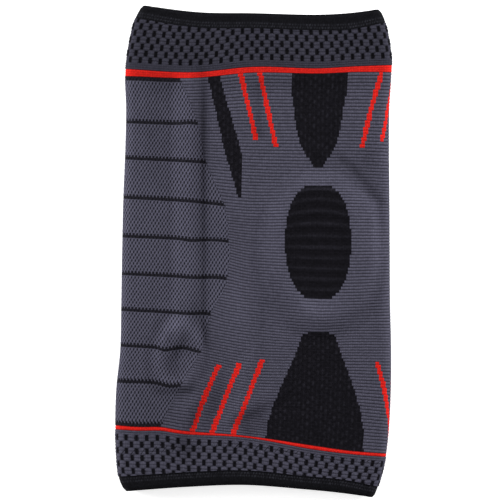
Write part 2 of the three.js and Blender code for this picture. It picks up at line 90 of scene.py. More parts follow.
# The sleeve's sizes in millimetres, from the solids in model.glb
SLEEVE_SIZE, _ = solid_sizes(*cad_box)
PAD_SIZE, PAD_MIDDLE = solid_sizes(*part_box("patella_pad"))
STAY_SIZE, STAY_MIDDLE = solid_sizes(*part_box("side_stay"))
LENGTH = SLEEVE_SIZE[1]
KNEE_WIDTH = SLEEVE_SIZE[0] / (SECTIONS[:, 2].max() - SECTIONS[:, 1].min())

# More sizes that the solids have, in millimetres
KNIT_WALL = 2.2
HEM_WALL = 3.0
HEM_ROUNDING = 0.8
FOLD_REACH = 6.0
FOLD_HEIGHT = 12.0
FOLD_MIDDLE = 5.5
CROWN_RISE = 1.5
PAD_THICKNESS = 4.4
STAY_THICKNESS = 1.6

# Where the line over the patella lies, as a share of the way round from the left fold
KNEE_LINE_SHARE = 0.3602

# The chart: wales all round, and the ribs where each zone starts
WALES = 320
LOWER_CUFF = 5
LOWER_STRIPE = 17
KNEE_START = 18
KNEE_END = 138
UPPER_CUFF = 140
UPPER_HEM = 152
UPPER_EDGE = 157

# How the courses run: rib, then its place in shares of LENGTH at the COURSE_PLACES from left to right
COURSES = np.array([
    (0, -0.488, -0.479, -0.475, -0.484, -0.491, -0.5),
    (LOWER_CUFF, -0.458, -0.449, -0.445, -0.457, -0.464, -0.478),
    (LOWER_STRIPE, -0.362, -0.372, -0.379, -0.402, -0.412, -0.418),
    (KNEE_START, -0.353, -0.365, -0.375, -0.394, -0.405, -0.411),
    (KNEE_START + 14.5, -0.264, -0.271, -0.298, -0.304, -0.309, -0.316),
    (KNEE_START + 27.5, -0.189, -0.199, -0.221, -0.225, -0.227, -0.228),
    (KNEE_START + 39.5, -0.122, -0.131, -0.149, -0.161, -0.158, -0.158),
    (KNEE_START + 49.5, -0.066, -0.074, -0.088, -0.099, -0.099, -0.095),
    (KNEE_START + 59.5, -0.009, -0.015, -0.028, -0.035, -0.036, -0.034),
    (KNEE_START + 79.5, 0.112, 0.104, 0.092, 0.095, 0.094, 0.092),
    (KNEE_START + 89.5, 0.174, 0.167, 0.157, 0.154, 0.154, 0.151),
    (KNEE_START + 105.5, 0.265, 0.261, 0.263, 0.263, 0.263, 0.261),
    (KNEE_END, 0.356, 0.352, 0.363, 0.361, 0.364, 0.364),
    (UPPER_CUFF, 0.371, 0.364, 0.375, 0.372, 0.376, 0.379),
    (UPPER_HEM, 0.474, 0.455, 0.453, 0.449, 0.451, 0.465),
    (UPPER_EDGE, 0.5, 0.486, 0.484, 0.481, 0.484, 0.492),
])
COURSE_PLACES = (0.0, 0.25, 0.48, 0.72, 0.86, 1.0)

# Dents and swells of the top wall: across, along, reach across, reach along, lean, rise. Places and reaches
# are shares of KNEE_WIDTH and LENGTH, a lean is millimetres across for each one along, and a rise is a share
# of FOLD_HEIGHT.
DENTS = (
    (-0.283, -0.207, 0.028, 0.032, 0.4, -0.15),
    (-0.281, -0.287, 0.065, 0.012, 0, -0.13),
    (-0.22, -0.36, 0.03, 0.025, 0, -0.09),
    (-0.02, -0.35, 0.06, 0.022, 0, -0.08),
    (-0.07, -0.12, 0.07, 0.09, 0, 0.07),
    (0.42, 0.175, 0.045, 0.035, 0, -0.12),
)

# The valley beside the stay fades out from some millimetres inside the stay's ends to some outside
VALLEY = {"across": -0.193, "reach": 0.025, "rise": -0.09, "inside": 10, "outside": 15}

# Softer forms that the solids leave out, in the same columns
CREASES = (
    (-0.212, -0.332, 0.026, 0.045, 0.5, -0.15),
    (0.002, -0.335, 0.045, 0.026, 1.4, -0.12),
    (-0.03, -0.25, 0.034, 0.055, 0.2, 0.09),
    (-0.08, -0.335, 0.036, 0.035, 0.5, 0.09),
    (-0.055, -0.15, 0.04, 0.07, 0, 0.07),
    (0.033, -0.155, 0.014, 0.06, 0, -0.05),
    (0.475, 0.03, 0.012, 0.1, 0, -0.04),
    (0.44, 0.03, 0.016, 0.06, 0, 0.06),
    (0.015, 0.318, 0.033, 0.021, 0, -0.08),
    (0.015, 0.236, 0.026, 0.018, 0, -0.08),
    (-0.195, 0.22, 0.014, 0.11, 0, -0.04),
    (0.394, 0.129, 0.036, 0.042, -1.3, -0.1),
    (0.366, 0.168, 0.028, 0.035, -0.9, -0.07),
    (0.25, -0.145, 0.1, 0.022, 0, 0.03),
)

# Oval rims: across, along, half their size across and along, the share of it that they take, lean, rise
RIMS = (
    (0.268, 0.009, 0.19, 0.144, 0.12, 0, 0.05),
    (0.254, 0.001, 0.238, 0.182, 0.07, 0, -0.02),
    (-0.286, -0.216, 0.068, 0.063, 0.27, 0.1, 0.11),
    (-0.286, -0.216, 0.108, 0.09, 0.16, 0.1, -0.04),
)

# Painted patches of shade and light on the top wall: the columns of the dents, with the change of its tone in
# the last
PAINTED_SHADE_PATCHES = (
    # The first two are painted shade in the valley beside the stay
    (-0.203, 0.26, 0.03, 0.13, 0, -0.3),
    (-0.205, 0.04, 0.024, 0.13, 0, -0.2),
    (-0.34, 0.34, 0.075, 0.025, 0, -0.2),
    (-0.374, 0.24, 0.05, 0.12, 0, -0.17),
    (-0.479, 0.125, 0.03, 0.3, 0, 0.09),
    (0.212, -0.125, 0.11, 0.03, 0, 0.28),
    (0.054, 0.115, 0.03, 0.04, 0, 0.1),
    (-0.31, -0.145, 0.03, 0.055, 0, 0.28),
    (-0.218, -0.124, 0.028, 0.035, 0, -0.24),
    (-0.306, -0.233, 0.03, 0.02, 0, -0.2),
    (-0.164, -0.225, 0.05, 0.04, 0, -0.08),
    (-0.359, -0.313, 0.09, 0.07, 0, -0.16),
    (-0.149, -0.309, 0.028, 0.05, 0.3, -0.35),
    (-0.255, -0.396, 0.04, 0.025, 0, -0.36),
    (-0.021, -0.364, 0.035, 0.015, 0, -0.3),
    (0.032, -0.343, 0.03, 0.03, 0, -0.17),
    (0.257, 0.172, 0.06, 0.013, 0, -0.22),
    (0.385, 0.158, 0.028, 0.05, -1.0, -0.2),
    (0.474, 0.206, 0.015, 0.06, 0, 0.15),
    (0.013, -0.211, 0.06, 0.06, 0, -0.08),
    (0.03, -0.03, 0.06, 0.08, 0, 0.12),
    (0.437, -0.034, 0.02, 0.03, 0, 0.1),
    # A painted shadow just below the upper stripe
    (0.137, 0.345, 0.4, 0.018, 0, -0.2),
    (0.017, 0.277, 0.02, 0.06, 0, -0.2),
)

# Where the top wall's courses are pulled up or down: the columns of the dents, with the pull in millimetres
# in the last
PULLS = (
    (-0.119, -0.028, 0.07, 0.061, 0, 2.0),
    (-0.175, -0.124, 0.045, 0.025, 0, 1.6),
    (-0.235, 0.003, 0.035, 0.05, 0, -0.8),
    (-0.239, 0.265, 0.03, 0.03, 0, 0.6),
    (-0.332, -0.195, 0.024, 0.03, 0, -1.3),
    (-0.258, -0.195, 0.03, 0.025, 0, 1.0),
    (-0.314, -0.266, 0.04, 0.03, 0, -1.7),
    (-0.351, -0.354, 0.06, 0.04, 0, 1.2),
)

# Half widths in wales of what is mirrored about the patella's line: rib, half
THIGH_PANEL = np.array([
    (109.9, 1.6), (112.5, 5.5), (116, 9.7), (122, 12.9),
    (130, 14.9), (132, 15.7), (138, 16.3),
])
SHIN_PANEL = np.array([
    (18, 27.6), (23, 26.9), (28, 25.3), (32, 23.4), (40, 18.3),
    (48.5, 12.9), (53, 10.7), (55.5, 8.6), (57, 3.9),
])
MESH_EDGE = np.array([
    (18, 86.5), (32, 75.9), (45, 66.7), (58, 61.0), (71, 51.7),
    (84, 50.6), (97, 53.7), (110, 64.7), (123, 70.0), (138, 80.5),
])

# The patella panel is an oval cut flat at both ends; the higher its fullness, the squarer the oval
PATELLA_PANEL = {"middle": 86, "half_ribs": 18, "oval_ribs": 19.2, "half_wales": 18.8, "fullness": 2.15}

# The wedges' sides in wales from the patella's line: rib, inner, outer
WEDGE = np.array([
    (100, 43.8, 46.0),
    (107, 43.8, 49.8),
    (112.5, 44.0, 53.4),
    (121, 48.3, 57.1),
    (130, 53.4, 61.0),
    (138, 57.4, 64.3),
])

# Slanted accent lines: rib and wale at their foot and at their head, and how much further out the
# right one lies
ACCENTS = (
    (118, 36.0, 138, 45.5, 0.8),
    (116, 24.5, 138, 34.5, 0.8),
    (18, 68.5, 42, 55.5, 1.0),
    (18, 57.5, 44, 44.0, 1.0),
    (18, 46.0, 46, 31.5, 1.3),
)
ACCENT_WALES = 2.7

# The ribs of the toothed black lines in the mesh; the last two overlap and make a thicker line
MESH_LINES = (18.35, 32.35, 45, 58, 71, 84, 97, 110, 123, 136.95, 137.35)

# The hems' zones; their stitches run beside the seam
HEMS = {
    "lower": {"start": 0, "stop": LOWER_CUFF, "seam": LOWER_CUFF},
    "upper": {"start": UPPER_HEM, "stop": UPPER_EDGE, "seam": UPPER_HEM},
}

# The stripes' zones, and how many raised bands they have in a rib
STRIPES = {
    "lower": {"start": LOWER_STRIPE, "stop": KNEE_START, "bands": 1},
    "upper": {"start": KNEE_END, "stop": UPPER_CUFF, "bands": 1.5},
}

# The cuffs' first row of pillows starts some millimetres from the stripe, and their dots are shifted in
# wales; the upper cuff's tone of 0.6 is painted shade that draws it darker than the lower one
CUFFS = {
    "lower": {
        "hem": LOWER_CUFF, "stripe": LOWER_STRIPE, "start": 2.25, "shift": -0.8, "tone": 1.0, "floats": True,
    },
    "upper": {
        "hem": UPPER_HEM, "stripe": UPPER_CUFF, "start": 3.5, "shift": 1.1, "tone": 0.6, "floats": False,
    },
}
CUFF_DOTS = 55  # round the sleeve
CUFF_ROW = 3.8
CUFF_FINE_RIB = 1.3
DOT_HALF_WALES = 1.1
DOT_HALF_ROW = 0.4
PILLOW_HALF_ROW = 0.6
FLOATS = {"from_hem": 13.7, "half_wales": 1.7, "half_width": 0.32, "slant": 1.1}

# Into how many faces the outer side of a cell is cut
PLAIN_CUTS = {"across": 1, "along": 3}
MESH_CUTS = {"across": 2, "along": 3}
PANEL_CUTS = {"across": 2, "along": 4}
CUFF_CUTS = {"across": 2, "along": 6}

# How far yarn stands out of the smooth wall, in millimetres
RIB_RISE = 0.24
MESH_RISE = 0.36
PILLOW_RISE = 0.6
HEM_RISE = 0.15

# The crest says how light yarn looks, from 0 in a valley to 1 on a rib: partly the dark yarn that shows in
# the pits, and partly painted shade in the valleys and painted light on the raised yarn; these are the lowest
# one of the accent lines, the lowest one of the cuffs and the one of the whole inner side
ACCENT_VALLEY = 0.6
CUFF_VALLEY = 0.2
INNER_CREST = 0.6

# The cuffs' fine ribs rise from one share of PILLOW_RISE to another
CUFF_FINE_SHARES = (0.5, 0.9)

# The higher this is, the wider are the pits of the mesh
PIT_SPREAD = 0.3

# The exponent that rounds the ribs of the stripes; the lower it is, the flatter their tops
STRIPE_ROUNDING = 0.4

# A fold along the middle of each pillow, in shares of the pillow's rise and half length
PILLOW_FOLD = {"depth": 0.5, "half": 0.15}

# The black panels' dashes: their pitch and width, how far they scatter along, how strong the weakest is,
# what share of the relief they are, and the crest between them
DASHES = {
    "ribs": 2.4,
    "wales": 2.5,
    "half_wales": 0.6,
    "scatter": 0.4,
    "weakest": 0.2,
    "share": 0.6,
    "ground": 0.25,
}

# The ripples of the patella panel: their pitch and rise, how high they arch and from which rib on, the crest
# between them and the least and most painted highlight that is laid on them, how much of that fades aside,
# and the fine ribs
RIPPLES = {
    "ribs": 3.3,
    "rise": 0.15,
    "arch": 2.4,
    "arch_start": 83,
    "ground": 0.13,
    "added": (0.35, 0.6),
    "fade": 0.5,
    "fine": 0.08,
}

# The hems' overlock stitches: millimetres from the seam and shift in wales of each row, then their pitch in
# wales, how far they swing and half their width in millimetres, how much of the pitch they take, how strong
# the weakest is, and the crest of the ground, its ribs and the stitches
STITCH_ROWS = ((1.5, 0.0), (3.1, 0.8))
STITCHES = {"wales": 1.7, "swing": 1.2, "half_width": 0.45, "taken": 0.72, "weakest": 0.35}
HEM_CRESTS = {"ground": 0.1, "ribs": 0.1, "stitches": 0.8}

# The hems round off over this many ribs at the sleeve's ends
HEM_ROUND_RIBS = 1.2

# The wall over the pad falls between these shares of the pad's half size, and dips in the middle by a share
# of the pad's thickness
PAD_SLOPE = (0.7, 1.16)
PAD_DIP = 0.22

# The ridge over the stay and its crest, in shares of the stay's width and thickness; the ridge fades out
# in some millimetres past the stay's ends
STAY_RIDGE = {"flat": 0.3, "foot": 0.9, "rise": 1.3, "fade": 12}
STAY_CREST = {"left": 0.15, "reach": 0.35, "rise": 0.25}

# Painted light and shade on the top wall: how much lighter yarn is drawn for each millimetre of rise, and how
# far that may go down and up
PAD_PAINTED_SHADING = 0.02
STAY_PAINTED_SHADING = 0.045
DENT_PAINTED_SHADING = 0.1
PAINTED_SHADING_RANGE = (-0.25, 0.2)


def curve_through(keys, values, at):
    """A smooth curve through values at rising keys."""
    keys = np.asarray(keys, float)
    values = np.asarray(values, float)
    place = np.clip(at, keys[0], keys[-1])
    last = len(keys) - 1
    before = np.maximum(np.arange(last + 1) - 1, 0)
    after = np.minimum(np.arange(last + 1) + 1, last)
    slope = (values[after] - values[before]) / (keys[after] - keys[before])
    i = np.clip(np.searchsorted(keys, place, side="right") - 1, 0, last - 1)
    span = keys[i + 1] - keys[i]
    t = (place - keys[i]) / span
    return (
        values[i] * (1 + 2 * t) * (1 - t) ** 2
        + slope[i] * span * t * (1 - t) ** 2
        + values[i + 1] * t * t * (3 - 2 * t)
        + slope[i + 1] * span * t * t * (t - 1)
    )


def smoothstep(x, low, high):
    t = np.clip((x - low) / (high - low), 0, 1)
    return t * t * (3 - 2 * t)


def bell(x):
    return np.exp(-x * x)


def between(low, high, share):
    """The value that lies a share of the way from low to high."""
    return low + (high - low) * share


def section_value(column, y):
    return curve_through(SECTIONS[:, 0], SECTIONS[:, column], y / LENGTH)


def course_y(rib, across):
    """Where a rib lies along the sleeve at a share of the way across."""
    y = 0
    for k in range(len(COURSE_PLACES)):
        weight = curve_through(COURSE_PLACES, np.arange(len(COURSE_PLACES)) == k, across)
        y = y + weight * curve_through(COURSES[:, 0], COURSES[:, k + 1], rib)
    return LENGTH * y


def quarter_arc(across, up):
    """The length of a quarter turn that goes this far across and up."""
    return (np.pi / 2) * np.sqrt((across**2 + up**2) / 2)


TOP_ARC = quarter_arc(FOLD_REACH, FOLD_HEIGHT - FOLD_MIDDLE)
UNDER_ARC = quarter_arc(FOLD_REACH, FOLD_MIDDLE)
KNEE_FLAT = KNEE_WIDTH - 2 * FOLD_REACH


def pad_rise(x, y):
    reach = np.hypot((x - PAD_MIDDLE[0]) / (PAD_SIZE[0] / 2), (y - PAD_MIDDLE[1]) / (PAD_SIZE[1] / 2))
    over = 1 - smoothstep(reach, *PAD_SLOPE)
    dip = PAD_DIP * (1 - smoothstep(reach, 0, PAD_SLOPE[0]))
    return PAD_THICKNESS * (over - dip)


def beside_stay(y, inside, outside):
    """1 along the stay, fading out past its ends."""
    return 1 - smoothstep(np.abs(y - STAY_MIDDLE[1]), STAY_SIZE[1] / 2 - inside, STAY_SIZE[1] / 2 + outside)


def stay_rise(x, y):
    across = (x - STAY_MIDDLE[0]) / STAY_SIZE[0]
    ridge = 1 - smoothstep(np.abs(across), STAY_RIDGE["flat"], STAY_RIDGE["foot"])
    crest = STAY_CREST["rise"] * bell((across + STAY_CREST["left"]) / STAY_CREST["reach"])
    return STAY_RIDGE["rise"] * STAY_THICKNESS * (ridge + crest) * beside_stay(y, 0, STAY_RIDGE["fade"])


def from_place(x, y, across, along, lean):
    """Millimetres from a place on the top wall, across from the leaning line through it and along."""
    dy = y - along * LENGTH
    return x - across * KNEE_WIDTH - lean * dy, dy


def bumps(table, x, y):
    """The sum of a table's rounded bumps."""
    total = 0
    for across, along, reach_x, reach_y, lean, height in table:
        dx, dy = from_place(x, y, across, along, lean)
        total = total + height * bell(dx / (reach_x * KNEE_WIDTH)) * bell(dy / (reach_y * LENGTH))
    return total


def rims(x, y):
    """The sum of the oval rims."""
    total = 0
    for across, along, half_x, half_y, share, lean, height in RIMS:
        dx, dy = from_place(x, y, across, along, lean)
        reach = np.hypot(dx / (half_x * KNEE_WIDTH), dy / (half_y * LENGTH))
        total = total + height * bell((reach - 1) / share)
    return total


def valley(x, y):
    beside = (x / KNEE_WIDTH - VALLEY["across"]) / VALLEY["reach"]
    return VALLEY["rise"] * bell(beside) * beside_stay(y, VALLEY["inside"], VALLEY["outside"])


def dent_rise(x, y):
    return FOLD_HEIGHT * (bumps(DENTS + CREASES, x, y) + rims(x, y) + valley(x, y))


def relief_height(x, y):
    return pad_rise(x, y) + stay_rise(x, y) + dent_rise(x, y)


def top_height(x, y):
    left = section_value(1, y) * KNEE_WIDTH
    right = section_value(2, y) * KNEE_WIDTH
    across = np.clip((x - left) / (right - left), 0, 1)
    plain = FOLD_HEIGHT * section_value(3, y) + CROWN_RISE * np.sin(np.pi * across) ** 2
    return plain + relief_height(x, y)


def way_round(wale):
    """The share of the way round from the left fold, over the top wall first."""
    return np.mod(KNEE_LINE_SHARE + wale / WALES, 1)


def is_on_top(wale):
    return way_round(wale) < 0.5


def knit_point(wale, rib, lift, highest=0.0):
    """Points of the knit in millimetres, lifted off the smooth wall.

    Underneath, the yarn that is lifted highest is what rests on the floor.
    """
    on_top = is_on_top(wale)
    share = np.where(on_top, 2 * way_round(wale), 2 * (1 - way_round(wale)))
    arc = np.where(on_top, TOP_ARC, UNDER_ARC)
    travel = share * (KNEE_FLAT + 2 * arc)
    side = np.where(travel < arc + KNEE_FLAT / 2, -1, 1)
    from_fold = np.minimum(travel, KNEE_FLAT + 2 * arc - travel)
    turn = np.minimum(from_fold / arc, 1) * (np.pi / 2)
    flat_share = np.clip((travel - arc) / KNEE_FLAT, 0, 1)
    inside = FOLD_REACH + flat_share * KNEE_FLAT
    y = course_y(rib, (inside + side * FOLD_REACH * np.cos(turn)) / KNEE_WIDTH)
    left = section_value(1, y) * KNEE_WIDTH + FOLD_REACH
    right = section_value(2, y) * KNEE_WIDTH - FOLD_REACH
    x = left + (right - left) * flat_share + side * (FOLD_REACH + lift) * np.cos(turn)
    y = y + np.where(on_top, bumps(PULLS, x, y), 0)
    top = top_height(x, y) - FOLD_MIDDLE + lift
    under = highest - lift - FOLD_MIDDLE
    return np.stack([x, y, FOLD_MIDDLE + np.where(on_top, top, under) * np.sin(turn)], -1)


def painted_light_and_shade(points, on_top):
    """Painted light and shade: yarn is drawn lighter where it rises and darker in a dip, with the painted
    patches of shade and light laid on top.
    """
    x, y = points[:, 0], points[:, 1]
    tone = PAD_PAINTED_SHADING * pad_rise(x, y) + STAY_PAINTED_SHADING * stay_rise(x, y) + DENT_PAINTED_SHADING * dent_rise(x, y)
    return 1 + np.where(on_top, np.clip(tone, *PAINTED_SHADING_RANGE) + bumps(PAINTED_SHADE_PATCHES, x, y), 0)


# The cells of the chart by their middles
CELL_WALE, CELL_RIB = np.meshgrid(
    np.arange(WALES) - WALES / 2 + 0.5, np.arange(UPPER_EDGE) + 0.5, indexing="ij"
)
FROM_LINE = np.abs(CELL_WALE)
IN_KNEE = (CELL_RIB > KNEE_START) & (CELL_RIB < KNEE_END)


def ribs_between(start, end):
    return (CELL_RIB > start) & (CELL_RIB < end)


def panel_cells(edge):
    inside = FROM_LINE < curve_through(edge[:, 0], edge[:, 1], CELL_RIB)
    return inside & ribs_between(edge[0, 0], edge[-1, 0])


def patella_cells():
    from_middle = np.abs(CELL_RIB - PATELLA_PANEL["middle"])
    fullness = PATELLA_PANEL["fullness"]
    half = np.clip(1 - (from_middle / PATELLA_PANEL["oval_ribs"]) ** fullness, 0, 1) ** (1 / fullness)
    in_ribs = from_middle < PATELLA_PANEL["half_ribs"]
    return in_ribs & (FROM_LINE < PATELLA_PANEL["half_wales"] * half)


def wedge_cells():
    inner, outer = (curve_through(WEDGE[:, 0], WEDGE[:, k], CELL_RIB) for k in (1, 2))
    return ribs_between(WEDGE[0, 0], WEDGE[-1, 0]) & (FROM_LINE > inner) & (FROM_LINE < outer)


def accent_cells():
    cells = np.zeros_like(IN_KNEE)
    for foot_rib, foot_wale, head_rib, head_wale, right_shift in ACCENTS:
        along = (CELL_RIB - foot_rib) / (head_rib - foot_rib)
        middle = foot_wale + along * (head_wale - foot_wale) + right_shift * (CELL_WALE > 0)
        cells |= ribs_between(foot_rib, head_rib) & (np.abs(FROM_LINE - middle) < ACCENT_WALES / 2)
    return cells


ACCENT_CELLS = accent_cells()
MESH_CELLS = IN_KNEE & (FROM_LINE > curve_through(MESH_EDGE[:, 0], MESH_EDGE[:, 1], CELL_RIB))
PANELS = {
    "thigh_panel": panel_cells(THIGH_PANEL),
    "patella_panel": patella_cells(),
    "shin_panel": panel_cells(SHIN_PANEL),
    "left_wedge": wedge_cells() & (CELL_WALE < 0),
    "right_wedge": wedge_cells() & (CELL_WALE > 0),
}
PLAIN_CELLS = IN_KNEE & ~MESH_CELLS & ~ACCENT_CELLS & ~np.any(list(PANELS.values()), axis=0)


def dent_wave(phase):
    """0 at whole numbers and 1 halfway between them."""
    return 0.5 - 0.5 * np.cos(2 * np.pi * phase)


def chance(first, second=0.0):
    """An even spread of values from 0 to 1 for whole numbers."""
    return np.mod(np.sin(first * 12.99 + second * 78.23) * 43758.5, 1)


# Each relief gives how far yarn is lifted in millimetres, and its crest
def plain_relief(wale, rib):
    crest = dent_wave(rib)
    return RIB_RISE * crest, crest


def mesh_relief(wale, rib):
    lattice = np.cos(np.pi * wale) * np.cos(np.pi * rib)
    pit = np.clip(between(PIT_SPREAD, 1, lattice), 0, 1)
    return MESH_RISE * (1 - pit), 1 - pit


def panel_relief(wale, rib):
    """Upright dashes that differ in place and strength from column to column."""
    column = np.round(wale / DASHES["wales"])
    along = rib / DASHES["ribs"] + 0.5 * np.mod(column, 2) + DASHES["scatter"] * chance(column)
    strength = between(DASHES["weakest"], 1, chance(column, np.floor(along)))
    aside = (wale - column * DASHES["wales"]) / DASHES["half_wales"]
    dash = strength * bell(aside) * dent_wave(along)
    lift = between(dent_wave(rib), dash, DASHES["share"])
    return RIB_RISE * lift, between(DASHES["ground"], 1, dash)


def patella_relief(wale, rib):
    """Puckered ripples that arch over the upper half, with painted highlights on their crests."""
    aside = np.clip(np.abs(wale) / PATELLA_PANEL["half_wales"], 0, 1) ** 2
    upper_end = PATELLA_PANEL["middle"] + PATELLA_PANEL["half_ribs"]
    arch = RIPPLES["arch"] * (1 - aside) * smoothstep(rib, RIPPLES["arch_start"], upper_end)
    place = (rib - arch) / RIPPLES["ribs"]
    ripple = dent_wave(place)
    added = between(*RIPPLES["added"], chance(np.floor(place)))
    crest = added * ripple**3 * (1 - RIPPLES["fade"] * aside)
    fine = RIPPLES["fine"] * dent_wave(rib)
    return RIPPLES["rise"] * ripple + fine, RIPPLES["ground"] + crest + fine


def stripe_relief(bands_per_rib):
    """Flat-topped bands along the stripe."""

    def relief(wale, rib):
        crest = dent_wave(rib * bands_per_rib) ** STRIPE_ROUNDING
        return RIB_RISE * crest, crest

    return relief


def accent_relief(wale, rib):
    crest = dent_wave(rib)
    return RIB_RISE * crest, between(ACCENT_VALLEY, 1, crest)


def far_along(wale, rib, start_rib):
    """Millimetres along the sleeve from one rib to another."""
    start = np.full_like(rib, start_rib, dtype=float)
    return np.abs(knit_point(wale, rib, 0)[..., 1] - knit_point(wale, start, 0)[..., 1])


def cuff_place(wale, rib, cuff):
    """Rows from the first one, and wales and rows from the middle of the dot there."""
    row = (far_along(wale, rib, cuff["stripe"]) - cuff["start"]) / CUFF_ROW
    number = np.floor(row)
    pitch = WALES / CUFF_DOTS
    aside = np.mod((wale - cuff["shift"]) / pitch + 0.5 * np.mod(number, 2) + 0.5, 1) - 0.5
    return row, np.abs(aside) * pitch, np.abs(row - number - 0.5)


def pillow_rise(across, along):
    """A rounded pillow with a fold along its middle, in shares of its half sizes."""
    body = np.clip(1 - across**3 - along**3, 0, 1) ** 0.5
    return body * (1 - PILLOW_FOLD["depth"] * bell(along / PILLOW_FOLD["half"]))


def cuff_relief(cuff):
    """Rows of pillows between the dots, and fine ribs between the first row and the stripe."""

    def relief(wale, rib):
        row, aside, along = cuff_place(wale, rib, cuff)
        half_pitch = WALES / CUFF_DOTS / 2
        half_wales = half_pitch - DOT_HALF_WALES / 2
        beside = pillow_rise((half_pitch - aside) / half_wales, along / PILLOW_HALF_ROW)
        next_row = pillow_rise(aside / half_wales, (1 - along) / PILLOW_HALF_ROW)
        fine = between(*CUFF_FINE_SHARES, dent_wave(far_along(wale, rib, cuff["stripe"]) / CUFF_FINE_RIB))
        shape = np.where(row > 0, np.maximum(beside, next_row), fine)
        return PILLOW_RISE * shape, between(CUFF_VALLEY, 1, shape)

    return relief


def on_float(wale, rib, cuff):
    """Whether a place is on one of the short slanted floats of black yarn."""
    pitch = WALES / CUFF_DOTS
    aside = np.mod(wale / pitch, 1) * pitch - pitch / 2
    off = far_along(wale, rib, cuff["hem"]) - FLOATS["from_hem"] - FLOATS["slant"] * aside
    return (np.abs(off) < FLOATS["half_width"]) & (np.abs(aside) < FLOATS["half_wales"])


def cuff_paint(cuff):
    """1 on the black dots and floats."""

    def paint(wale, rib):
        row, aside, along = cuff_place(wale, rib, cuff)
        dot = (aside / DOT_HALF_WALES) ** 3 + (along / DOT_HALF_ROW) ** 3 < 1
        if cuff["floats"]:
            dot |= on_float(wale, rib, cuff)
        return (dot & (row > 0)).astype(np.int32)

    return paint


def overlock(wale, from_seam):
    """Zigzag stitches in rows beside a seam, from 0 between them to 1 on them."""
    stitches = 0
    for middle, shift in STITCH_ROWS:
        zigzag = np.abs(np.mod((wale + shift) / STITCHES["wales"], 1) - 0.5)
        off = from_seam - middle - STITCHES["swing"] * (zigzag - 0.25)
        stitches = stitches + bell(off / STITCHES["half_width"]) * (zigzag < STITCHES["taken"] / 2)
    return np.clip(stitches, 0, 1)


def hem_relief(seam):
    """A rolled band with two rows of overlock stitches beside its seam."""

    def relief(wale, rib):
        from_end = np.minimum(rib, UPPER_EDGE - rib)
        tuck = HEM_ROUNDING * np.clip(1 - from_end / HEM_ROUND_RIBS, 0, 1)
        strength = between(STITCHES["weakest"], 1, chance(np.floor(wale), seam))
        stitches = strength * overlock(wale, far_along(wale, rib, seam))
        ribs = dent_wave(wale)
        crest = HEM_CRESTS["ground"] + HEM_CRESTS["ribs"] * ribs + HEM_CRESTS["stitches"] * stitches
        return HEM_RISE * (ribs + stitches) / 2 - tuck, crest

    return relief


def mesh_paint(wale, rib):
    """Black lines three cuts thick, with a tooth two cuts tall at every second wale on their upper side."""
    cuts_per_rib = MESH_CUTS["along"]
    cuts = np.floor(cuts_per_rib * rib)[..., None] - np.round(cuts_per_rib * np.array(MESH_LINES))
    line = (np.abs(cuts) < 2).any(-1)
    tooth = ((cuts == 2) | (cuts == 3)).any(-1) & (np.mod(wale, 2) < 1)
    return (line | tooth).astype(np.int32)


def one_colour(wale, rib):
    return np.zeros(wale.shape, np.int32)


class Faces(NamedTuple):
    """Faces with equally many corners: their vertices, the chart's place at each corner, their colours."""

    vertices: np.ndarray
    wale: np.ndarray
    rib: np.ndarray
    colours: np.ndarray
    on_rim: bool = False


def vertex_numbers(cells, first):
    """Numbers for the corners of the cells, on a grid that closes round the sleeve."""
    used = np.zeros((cells.shape[0], cells.shape[1] + 1), bool)
    for up in (slice(0, -1), slice(1, None)):
        used[:, up] |= cells
        used[:, up] |= np.roll(cells, 1, axis=0)
    return np.where(used, np.cumsum(used).reshape(used.shape) - 1 + first, -1), used


def cell_corners(cells):
    i, j = np.nonzero(cells)
    return np.stack([i, i + 1, i + 1, i], 1), np.stack([j, j, j + 1, j + 1], 1)


def chart_place(i, j, across=1, along=1):
    """The wale and rib of a place on a grid that cuts each cell across and along."""
    return i / across - WALES / 2, j / along


def outer_faces(fine, numbers, across, along, paint):
    i, j = cell_corners(fine)
    colours = paint(*chart_place(i[:, 0] + 0.5, j[:, 0] + 0.5, across, along))
    return Faces(numbers[i % len(numbers), j], *chart_place(i, j, across, along), colours)


def inner_faces(cells, numbers):
    """Faces that look into the sleeve, so their corners run the other way round."""
    i, j = (corners[:, ::-1] for corners in cell_corners(cells))
    return Faces(numbers[i % WALES, j], *chart_place(i, j), np.zeros(len(i), np.int32))


def rim_faces(cells, inner, outer, across, along, paint):
    """Faces that close the wall where a cell has no neighbour, from an inner edge to the outer one's cuts.

    A step of di and dj leads from the cell to where the neighbour is missing.
    """
    beyond = {
        (0, -1): np.pad(cells, ((0, 0), (1, 0)))[:, :-1],
        (1, 0): np.roll(cells, -1, axis=0),
        (0, 1): np.pad(cells, ((0, 0), (0, 1)))[:, 1:],
        (-1, 0): np.roll(cells, 1, axis=0),
    }
    for (di, dj), neighbour in beyond.items():
        i, j = np.nonzero(cells & ~neighbour)
        start_i, start_j = i + (di > 0) + (dj > 0), j + (dj > 0) + (di < 0)
        step_i, step_j = -dj, di
        back = np.arange(across if dj else along, -1, -1)
        rim_i = (start_i * across)[:, None] + step_i * back
        rim_j = (start_j * along)[:, None] + step_j * back
        ends_i = np.stack([start_i, start_i + step_i], 1)
        ends_j = np.stack([start_j, start_j + step_j], 1)
        numbers = np.concatenate([inner[ends_i % WALES, ends_j], outer[rim_i % len(outer), rim_j]], 1)
        ends, rim = chart_place(ends_i, ends_j), chart_place(rim_i, rim_j, across, along)
        wale, rib = (np.concatenate(pair, 1) for pair in zip(ends, rim))
        yield Faces(numbers, wale, rib, paint(*chart_place(i + 0.5, j + 0.5)), on_rim=True)


